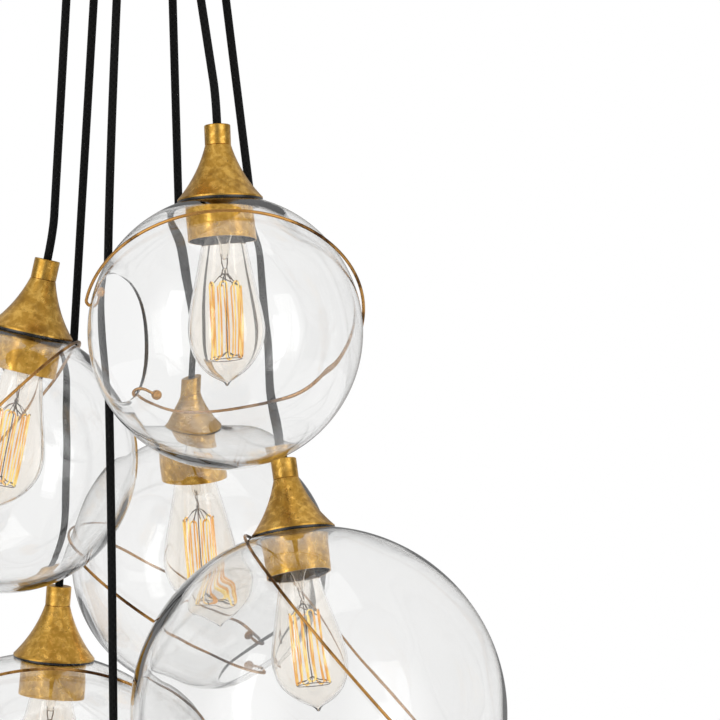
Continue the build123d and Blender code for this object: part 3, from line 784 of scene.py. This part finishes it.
yarn_and_groove_shade = add_node(tree, "ShaderNodeMapRange", {"Value": weave.outputs[0], "From Min": -0.6})
fluff = use_group(tree, mottle_group, Size=1400.0, Low=0.35, High=0.7)
# the grooves between the yarns are painted darker than their crests: painted shade
colour = mix_colour(tree, yarn_and_groove_shade.outputs["Result"], (0.0008, 0.0008, 0.0008, 1.0),
                    (0.005, 0.005, 0.005, 1.0))
lint = add_node(tree, "ShaderNodeMath", {0: fluff.outputs["Mask"], 1: lint_share},
                operation="MULTIPLY")
colour = mix_colour(tree, lint.outputs[0], colour, (0.012, 0.0115, 0.011, 1.0))
tree.links.new(colour, shader.inputs["Base Color"])
bump = add_node(tree, "ShaderNodeBump", {"Height": yarn_and_groove_shade.outputs["Result"], "Strength": 0.6,
                                         "Distance": yarn_height})
tree.links.new(bump.outputs["Normal"], shader.inputs["Normal"])

# %% [markdown]
# ## Clear glass
#
# Glass is a Principled shader with full transmission. Three things make it look like the real
# thing. Towards its outline we look along the wall, through ten times as much glass, so the
# colour falls to a brownish grey there; Layer Weight gives that. A slow bump makes the small
# ripples of blown glass. And for rays from the lamps the glass is simply clear, through a mix
# with a Transparent shader, so that the brass inside is lit.

# %% Glass finishes


def make_glass(name, body_colour, edge_colour, edge_start, ripple_size, ripple_depth, ior):
    material, tree, shader = new_material(name, Roughness=0.0, IOR=ior,
                                          Transmission_Weight=1.0)
    facing = add_node(tree, "ShaderNodeLayerWeight", {"Blend": 0.5})
    edge = add_node(tree, "ShaderNodeMapRange",
                    {"Value": facing.outputs["Facing"], "From Min": edge_start},
                    interpolation_type="SMOOTHSTEP")
    colour = mix_colour(tree, edge.outputs["Result"], body_colour, edge_colour)
    tree.links.new(colour, shader.inputs["Base Color"])
    ripple = use_group(tree, ripple_group, Size=ripple_size, Depth=ripple_depth)
    tree.links.new(ripple.outputs["Normal"], shader.inputs["Normal"])
    clear = add_node(tree, "ShaderNodeBsdfTransparent", {"Color": (0.93, 0.93, 0.93, 1.0)})
    rays = add_node(tree, "ShaderNodeLightPath")
    mix = add_node(tree, "ShaderNodeMixShader", {"Fac": rays.outputs["Is Shadow Ray"],
                                                 1: shader.outputs[0], 2: clear.outputs[0]})
    tree.links.new(mix.outputs[0], tree.nodes["Material Output"].inputs["Surface"])
    return material


clear_glass = make_glass("clear_glass", (0.94, 0.94, 0.937, 1.0), (0.26, 0.22, 0.17, 1.0),
                         0.74, 24.0, 0.0007, 1.5)
bulb_glass = make_glass("bulb_glass", (0.985, 0.96, 0.925, 1.0), (0.03, 0.025, 0.02, 1.0),
                        0.72, 60.0, 0.0001, 1.5)

# %% [markdown]
# ## Filament and lamp metal
#
# The filament glows amber along some stretches of its strands and yellow-white along others. The
# glow is the shader's own emission, at a level where the strands keep their colour. The wires
# that hold it are dull, and darker than the lamp's base.

# %% Lamp metals
lamp_metal, tree, shader = new_material("lamp_metal", Metallic=1.0)
tarnish = use_group(tree, mottle_group, Size=150.0, Low=0.4, High=0.7)
colour = mix_colour(tree, tarnish.outputs["Mask"], (0.70, 0.56, 0.32, 1.0),
                    (0.42, 0.28, 0.13, 1.0))
tree.links.new(colour, shader.inputs["Base Color"])
roughness = add_node(tree, "ShaderNodeMapRange",
                     {"Value": tarnish.outputs["Mask"], "To Min": 0.22, "To Max": 0.4})
tree.links.new(roughness.outputs["Result"], shader.inputs["Roughness"])

lead_wire, tree, shader = new_material("lead_wire", Metallic=1.0)
dull = use_group(tree, mottle_group, Size=300.0, Low=0.4, High=0.6)
colour = mix_colour(tree, dull.outputs["Mask"], (0.20, 0.13, 0.08, 1.0),
                    (0.05, 0.035, 0.025, 1.0))
tree.links.new(colour, shader.inputs["Base Color"])
roughness = add_node(tree, "ShaderNodeMapRange",
                     {"Value": dull.outputs["Mask"], "To Min": 0.3, "To Max": 0.5})
tree.links.new(roughness.outputs["Result"], shader.inputs["Roughness"])

glowing_filament, tree, shader = new_material("glowing_filament", Roughness=0.9,
                                              Specular_IOR_Level=0.0, Emission_Strength=1.15)
shader.inputs["Base Color"].default_value = (0.02, 0.008, 0.002, 1.0)
place = add_node(tree, "ShaderNodeTexCoord")
by_strand = add_node(tree, "ShaderNodeMapping", {"Vector": place.outputs["Object"],
                                                 "Scale": (260.0, 260.0, 22.0)})
heat = add_node(tree, "ShaderNodeTexNoise", {"Vector": by_strand.outputs["Vector"], "Scale": 1.0,
                                             "Detail": 1.0})
heat = add_node(tree, "ShaderNodeMapRange", {"Value": heat.outputs["Fac"], "From Min": 0.40,
                                             "From Max": 0.62}, interpolation_type="SMOOTHSTEP")
glow = mix_colour(tree, heat.outputs["Result"], (0.78, 0.33, 0.025, 1.0),
                  (1.0, 0.74, 0.20, 1.0))
tree.links.new(glow, shader.inputs["Emission Color"])

# %% Give every piece its finish


def finish(piece, material):
    piece.data.materials.clear()
    piece.data.materials.append(material)


slots = {part["node"]: part["material_slot"] for part in frame["record"]["subparts"]}
SLOT_MATERIALS = {"aged_brass": aged_brass, "zinc_steel": zinc_steel, "cord_cloth": cord_cloth,
                  "clear_glass": clear_glass, "holder_black": holder_black,
                  "antique_wire": antique_wire, "bulb_glass": bulb_glass,
                  "lamp_metal": lamp_metal, "wiring": wiring}
for name, node in nodes.items():
    finish(node, SLOT_MATERIALS[slots[name]])
for number, material in sleeve_materials.items():
    finish(nodes[f"sleeve_{number}"], material)
for cord in cords.values():
    finish(cord, cord_cloth)
for globe in globes.values():
    finish(globe, clear_glass)
LAMP_MATERIALS = {"lamp_glass": bulb_glass, "lamp_base": lamp_metal, "lamp_stem": bulb_glass,
                  "lamp_wires": lead_wire, "lamp_filament": glowing_filament}
for name, material in LAMP_MATERIALS.items():
    for piece in lamps[name]:
        finish(piece, material)

# %% [markdown]
# ## Floor, backdrop and light
#
# The photograph's background is pure white. So the world is white for the camera and for what
# shows through glass, and the floor far below is a wide pale disc that turns white at its edge.
# For all other rays the world is a studio: dim, brighter overhead, and brightest towards its two
# front corners, which gives the brass its upright bands of light. Three soft lamps that leave no
# reflection add to it, from the front left, the front right and above.

# %% Floor
floor_z = -1.05
floor_r, floor_edge = 2.4, 0.9
deselect_all()
bpy.ops.mesh.primitive_circle_add(vertices=96, radius=floor_r, fill_type="NGON",
                                  location=(0.0, 0.0, floor_z))
floor = bpy.context.object
floor.name = "floor"
bpy.ops.object.mode_set(mode="EDIT")
bpy.ops.mesh.select_all(action="SELECT")
bpy.ops.mesh.inset(thickness=floor_edge)
bpy.ops.object.mode_set(mode="OBJECT")
floor_paint, tree, shader = new_material("floor_paint", Roughness=0.9)
shader.inputs["Base Color"].default_value = (0.93, 0.93, 0.93, 1.0)
place = add_node(tree, "ShaderNodeTexCoord")
from_middle = add_node(tree, "ShaderNodeVectorMath", {0: place.outputs["Object"]},
                       operation="LENGTH")
whiter = add_node(tree, "ShaderNodeMapRange", {"Value": from_middle.outputs["Value"],
                                               "From Min": 0.7, "From Max": 2.2},
                  interpolation_type="SMOOTHSTEP")
white = add_node(tree, "ShaderNodeEmission", {"Color": (1.0, 1.0, 1.0, 1.0), "Strength": 1.0})
mix = add_node(tree, "ShaderNodeMixShader", {"Fac": whiter.outputs["Result"],
                                             1: shader.outputs[0], 2: white.outputs[0]})
tree.links.new(mix.outputs[0], tree.nodes["Material Output"].inputs["Surface"])
finish(floor, floor_paint)

# %% World
world = bpy.data.worlds.new("studio")
scene.world = world
world.use_nodes = True
tree = world.node_tree
ambient = tree.nodes["Background"]
ambient.inputs["Color"].default_value = (1.0, 1.0, 1.0, 1.0)
place = add_node(tree, "ShaderNodeTexCoord")
way = add_node(tree, "ShaderNodeSeparateXYZ", {"Vector": place.outputs["Generated"]})
corners = add_node(tree, "ShaderNodeMath", {0: way.outputs["X"], 1: way.outputs["Y"]},
                   operation="MULTIPLY")
corners = add_node(tree, "ShaderNodeMath", {0: corners.outputs[0]}, operation="ABSOLUTE")
front = add_node(tree, "ShaderNodeMapRange",
                 {"Value": way.outputs["Y"], "From Min": 0.2, "From Max": -0.4,
                  "To Min": 0.6, "To Max": 2.1}, interpolation_type="SMOOTHSTEP")
boxes = add_node(tree, "ShaderNodeMapRange",
                 {"Value": corners.outputs[0], "From Min": 0.18, "From Max": 0.49,
                  "To Min": 0.30, "To Max": front.outputs["Result"]},
                 interpolation_type="SMOOTHSTEP")
ceiling = add_node(tree, "ShaderNodeMapRange",
                   {"Value": way.outputs["Z"], "From Min": 0.2, "From Max": 0.95,
                    "To Min": 0.0, "To Max": 0.6}, interpolation_type="SMOOTHSTEP")
level = add_node(tree, "ShaderNodeMath", {0: boxes.outputs["Result"],
                                          1: ceiling.outputs["Result"]}, operation="ADD")
tree.links.new(level.outputs[0], ambient.inputs["Strength"])
plain_white = add_node(tree, "ShaderNodeBackground", {"Color": (1.0, 1.0, 1.0, 1.0),
                                                      "Strength": 1.0})
rays = add_node(tree, "ShaderNodeLightPath")
seen = add_node(tree, "ShaderNodeMath", {0: rays.outputs["Is Camera Ray"],
                                         1: rays.outputs["Is Transmission Ray"]},
                operation="MAXIMUM")
mix = add_node(tree, "ShaderNodeMixShader", {"Fac": seen.outputs[0], 1: ambient.outputs[0],
                                             2: plain_white.outputs[0]})
tree.links.new(mix.outputs[0], tree.nodes["World Output"].inputs["Surface"])

# %% Lamps


def soft_lamp(name, place, aim, size, power):
    data = bpy.data.lights.new(name, "AREA")
    data.shape = "RECTANGLE"
    data.size, data.size_y = size
    data.energy = power
    lamp = bpy.data.objects.new(name, data)
    lamp.location = place
    lamp.rotation_euler = (Vector(aim) - Vector(place)).to_track_quat("-Z", "Y").to_euler()
    lamp.visible_glossy = False
    scene.collection.objects.link(lamp)


middle = (0.0, 0.0, -0.45)
soft_lamp("left_box", (-1.5, -1.6, 0.1), middle, (0.5, 1.8), 8.0)
soft_lamp("right_box", (1.7, -1.2, -0.1), middle, (0.6, 1.8), 6.0)
soft_lamp("top_box", (0.2, -0.3, 1.5), middle, (1.6, 1.2), 8.0)

# %% [markdown]
# ## Last settings
#
# The Standard view keeps white as white. A path through three globes and a lamp can cross some
# twenty surfaces of glass, and more where it is reflected, so light may meet forty before it is
# given up.

# %% Settings
glass_surfaces = 40
scene.view_settings.view_transform = "Standard"
scene.cycles.max_bounces = glass_surfaces
scene.cycles.transmission_bounces = glass_surfaces
scene.cycles.transparent_max_bounces = glass_surfaces
scene.cycles.use_denoising = True
scene.cycles.caustics_reflective = False
scene.cycles.caustics_refractive = False
